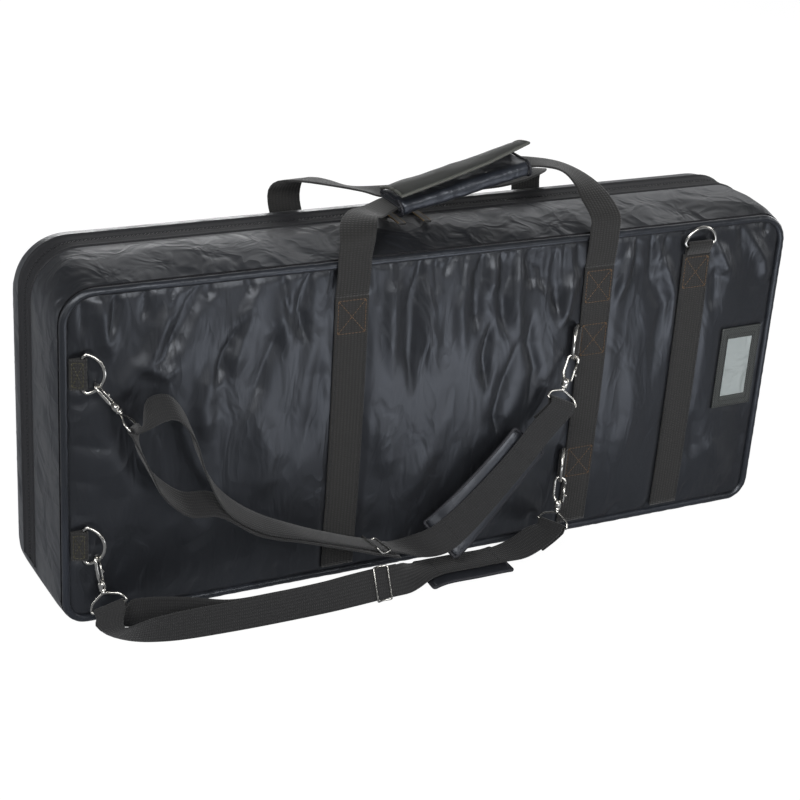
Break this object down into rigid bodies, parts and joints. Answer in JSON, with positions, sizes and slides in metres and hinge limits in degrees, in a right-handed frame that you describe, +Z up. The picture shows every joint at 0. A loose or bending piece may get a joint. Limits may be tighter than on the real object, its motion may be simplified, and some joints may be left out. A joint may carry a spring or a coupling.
{
  "type": "padded carry case",
  "caption": "Long padded soft carry case with a zipped lid, wrapped double handle, clipped shoulder straps, D-rings, snap hooks and a card window.",
  "frame": {"origin": "middle of the underside that the case stands on, on the rest plane", "axes": "+X along the case's length, -Y towards the front panel with the shoulder straps and the card window, +Z up towards the zip and the handle"},
  "size_m": [0.9242, 0.2597, 0.4892],
  "materials": {
    "coated_nylon": "coated nylon taffeta, glossy and wrinkled",
    "webbing": "ribbed black polypropylene webbing, matte",
    "piping": "nylon-covered cord",
    "foam": "closed-cell padding foam",
    "pad_cloth": "nylon sleeve over foam",
    "lining": "brushed lining cloth",
    "zip_tape": "woven zip tape with a nylon coil",
    "nickel": "nickel-plated wire and die-cast metal",
    "clear_vinyl": "clear soft vinyl sheet",
    "pocket_edge": "black binding"
  },
  "bodies": {
    "shell": {"base_gusset": "coated_nylon", "card_frame": "pocket_edge", "card_pane": "clear_vinyl", "eye_lower_left": "nickel", "eye_lower_middle": "nickel", "eye_upper_left": "nickel", "eye_upper_middle": "nickel", "front_gusset": "coated_nylon", "front_lining": "lining", "front_padding": "foam", "front_panel": "coated_nylon", "front_piping": "piping", "front_zip_tape": "zip_tape", "shoulder_pad_lower": "pad_cloth", "shoulder_pad_upper": "pad_cloth", "shoulder_webbing_lower": "webbing", "shoulder_webbing_upper": "webbing", "strap_front_end": "webbing", "strap_front_left": "webbing", "strap_front_middle": "webbing", "tab_front_end": "webbing", "tab_lower_left": "webbing", "tab_lower_middle": "webbing", "tab_upper_left": "webbing", "tab_upper_middle": "webbing"},
    "lid": {"lid_gusset": "coated_nylon", "back_panel": "coated_nylon", "back_piping": "piping", "lid_padding": "foam", "lid_lining": "lining", "lid_zip_tape": "zip_tape", "strap_back_left": "webbing", "strap_back_middle": "webbing", "strap_back_end": "webbing", "tab_back_end": "webbing"},
    "front_handle": {"handle_loop_front": "webbing", "grip_wrap": "webbing"},
    "grip_flap": {"grip_flap": "coated_nylon"},
    "back_handle": {"handle_loop_back": "webbing"},
    "slider_left": {"slider_left": "nickel"},
    "pull_left": {"pull_left": "zip_tape"},
    "slider_right": {"slider_right": "nickel"},
    "pull_right": {"pull_right": "zip_tape"},
    "ring_upper_left": {"ring_upper_left": "nickel"},
    "ring_lower_left": {"ring_lower_left": "nickel"},
    "ring_upper_middle": {"ring_upper_middle": "nickel"},
    "ring_lower_middle": {"ring_lower_middle": "nickel"},
    "ring_front_end": {"ring_front_end": "nickel"},
    "ring_back_end": {"ring_back_end": "nickel"},
    "hook_upper_left": {"hook_upper_left": "nickel"},
    "gate_upper_left": {"gate_upper_left": "nickel"},
    "hook_lower_left": {"hook_lower_left": "nickel"},
    "gate_lower_left": {"gate_lower_left": "nickel"},
    "hook_upper_middle": {"hook_upper_middle": "nickel"},
    "gate_upper_middle": {"gate_upper_middle": "nickel"},
    "hook_lower_middle": {"hook_lower_middle": "nickel"},
    "gate_lower_middle": {"gate_lower_middle": "nickel"},
    "glide_upper": {"glide_upper": "nickel"},
    "glide_lower": {"glide_lower": "nickel"}
  },
  "joints": [
    {"name": "lid_hinge", "type": "hinge", "parent": "shell", "child": "lid", "pos_m": [0, 0.09, 0.006], "axis": [-1, 0, 0], "range_deg": [0, 90]},
    {"name": "front_handle_swing", "type": "hinge", "parent": "shell", "child": "front_handle", "pos_m": [0, -0.08779, 0.3463], "axis": [1, 0, 0], "range_deg": [0, 80]},
    {"name": "back_handle_swing", "type": "hinge", "parent": "lid", "child": "back_handle", "pos_m": [0, 0.08779, 0.3463], "axis": [-1, 0, 0], "range_deg": [0, 80]},
    {"name": "grip_flap_hinge", "type": "hinge", "parent": "front_handle", "child": "grip_flap", "pos_m": [0.02769, 0.0105, 0.44886], "axis": [-0.9781, 0, -0.2079], "range_deg": [-7, 95]},
    {"name": "zip_slide_left", "type": "slide", "parent": "shell", "child": "slider_left", "axis": [-1, 0, 0], "range_m": [0, 0.33]},
    {"name": "pull_hinge_left", "type": "hinge", "parent": "slider_left", "child": "pull_left", "pos_m": [-0.045, 0.0137, 0.4034], "axis": [-1, 0, 0], "range_deg": [0, 8]},
    {"name": "zip_slide_right", "type": "slide", "parent": "shell", "child": "slider_right", "axis": [1, 0, 0], "range_m": [0, 0.39]},
    {"name": "pull_hinge_right", "type": "hinge", "parent": "slider_right", "child": "pull_right", "pos_m": [-0.013, 0.0137, 0.4034], "axis": [-1, 0, 0], "range_deg": [0, 14]},
    {"name": "ring_hinge_upper_left", "type": "hinge", "parent": "shell", "child": "ring_upper_left", "pos_m": [-0.4325, -0.08843, 0.2965], "axis": [0, 0, 1], "range_deg": [-5, 5]},
    {"name": "ring_hinge_lower_left", "type": "hinge", "parent": "shell", "child": "ring_lower_left", "pos_m": [-0.4325, -0.08845, 0.0975], "axis": [0, 0, 1], "range_deg": [-5, 5]},
    {"name": "ring_hinge_upper_middle", "type": "hinge", "parent": "shell", "child": "ring_upper_middle", "pos_m": [0.1629, -0.09264, 0.2585], "axis": [0, 0, 1], "range_deg": [-5, 5]},
    {"name": "ring_hinge_lower_middle", "type": "hinge", "parent": "shell", "child": "ring_lower_middle", "pos_m": [0.1629, -0.09199, 0.099], "axis": [0, 0, 1], "range_deg": [-5, 5]},
    {"name": "ring_hinge_front_end", "type": "hinge", "parent": "shell", "child": "ring_front_end", "pos_m": [0.326, -0.08875, 0.3605], "axis": [1, 0, 0], "range_deg": [0, 160]},
    {"name": "ring_hinge_back_end", "type": "hinge", "parent": "lid", "child": "ring_back_end", "pos_m": [-0.326, 0.08875, 0.3605], "axis": [-1, 0, 0], "range_deg": [0, 160]},
    {"name": "hook_swivel_upper_left", "type": "hinge", "parent": "shell", "child": "hook_upper_left", "pos_m": [-0.39934, -0.09801, 0.25628], "axis": [-0.6005, 0.1201, 0.7906], "range_deg": [-10, 10]},
    {"name": "gate_hinge_upper_left", "type": "hinge", "parent": "hook_upper_left", "child": "gate_upper_left", "pos_m": [-0.40176, -0.09146, 0.2623], "axis": [0.7425, -0.2835, 0.607], "range_deg": [0, 22], "stiffness_Nm_per_rad": 0.02, "springref_deg": -5.73},
    {"name": "hook_swivel_lower_left", "type": "hinge", "parent": "shell", "child": "hook_lower_left", "pos_m": [-0.41715, -0.10173, 0.05054], "axis": [-0.1005, 0.2009, 0.9744], "range_deg": [-10, 10]},
    {"name": "gate_hinge_lower_left", "type": "hinge", "parent": "hook_lower_left", "child": "gate_lower_left", "pos_m": [-0.41441, -0.09545, 0.05671], "axis": [0.8129, -0.5481, 0.1968], "range_deg": [0, 22], "stiffness_Nm_per_rad": 0.02, "springref_deg": -5.73},
    {"name": "hook_swivel_upper_middle", "type": "hinge", "parent": "shell", "child": "hook_upper_middle", "pos_m": [0.1433, -0.10733, 0.21157], "axis": [0.4016, 0.2008, 0.8935], "range_deg": [-10, 10]},
    {"name": "gate_hinge_upper_middle", "type": "hinge", "parent": "hook_upper_middle", "child": "gate_upper_middle", "pos_m": [0.15029, -0.11014, 0.21689], "axis": [-0.5952, -0.6843, 0.4213], "range_deg": [0, 22], "stiffness_Nm_per_rad": 0.02, "springref_deg": -5.73},
    {"name": "hook_swivel_lower_middle", "type": "hinge", "parent": "shell", "child": "hook_lower_middle", "pos_m": [0.15312, -0.10614, 0.04881], "axis": [0.1491, 0.2187, 0.9643], "range_deg": [-10, 10]},
    {"name": "gate_hinge_lower_middle", "type": "hinge", "parent": "hook_lower_middle", "child": "gate_lower_middle", "pos_m": [0.15908, -0.10804, 0.05558], "axis": [-0.5527, -0.7902, 0.2647], "range_deg": [0, 22], "stiffness_Nm_per_rad": 0.02, "springref_deg": -5.73},
    {"name": "glide_slide_upper", "type": "slide", "parent": "shell", "child": "glide_upper", "axis": [0.951, 0, -0.3091], "range_m": [-0.008, 0.008]},
    {"name": "glide_slide_lower", "type": "slide", "parent": "shell", "child": "glide_lower", "axis": [0.9981, 0.0619, 0.0017], "range_m": [-0.008, 0.008]}
  ]
}
